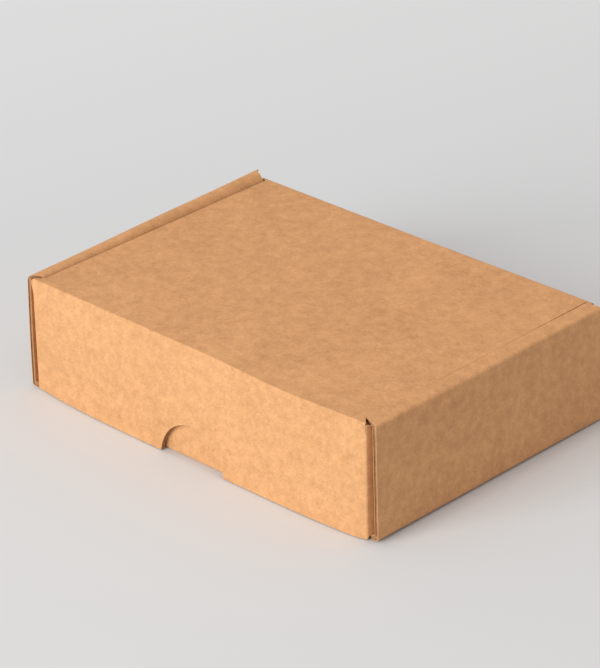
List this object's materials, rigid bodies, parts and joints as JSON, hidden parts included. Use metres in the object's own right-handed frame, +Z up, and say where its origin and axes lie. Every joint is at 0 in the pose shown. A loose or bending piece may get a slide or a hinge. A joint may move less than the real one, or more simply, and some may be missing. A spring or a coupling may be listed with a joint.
{
  "type": "cardboard box",
  "caption": "Small flat corrugated kraft mailing box, closed, with rolled double side walls and an outside front flap with a thumb notch.",
  "frame": {"origin": "centre of the footprint on the surface that the box stands on", "axes": "+X along the front, to the right of someone facing the thumb notch; -Y is the front; +Z up"},
  "size_m": [0.1684, 0.1183, 0.0464],
  "materials": {
    "kraft_board": "matte"
  },
  "bodies": {
    "box": {"folded_box": "kraft_board"},
    "flap": {"front_flap": "kraft_board"}
  },
  "joints": [
    {"name": "front_flap_crease", "type": "hinge", "parent": "box", "child": "flap", "pos_m": [0, -0.05603, 0.04313], "axis": [-1, 0, 0], "range_deg": [0, 90]}
  ]
}
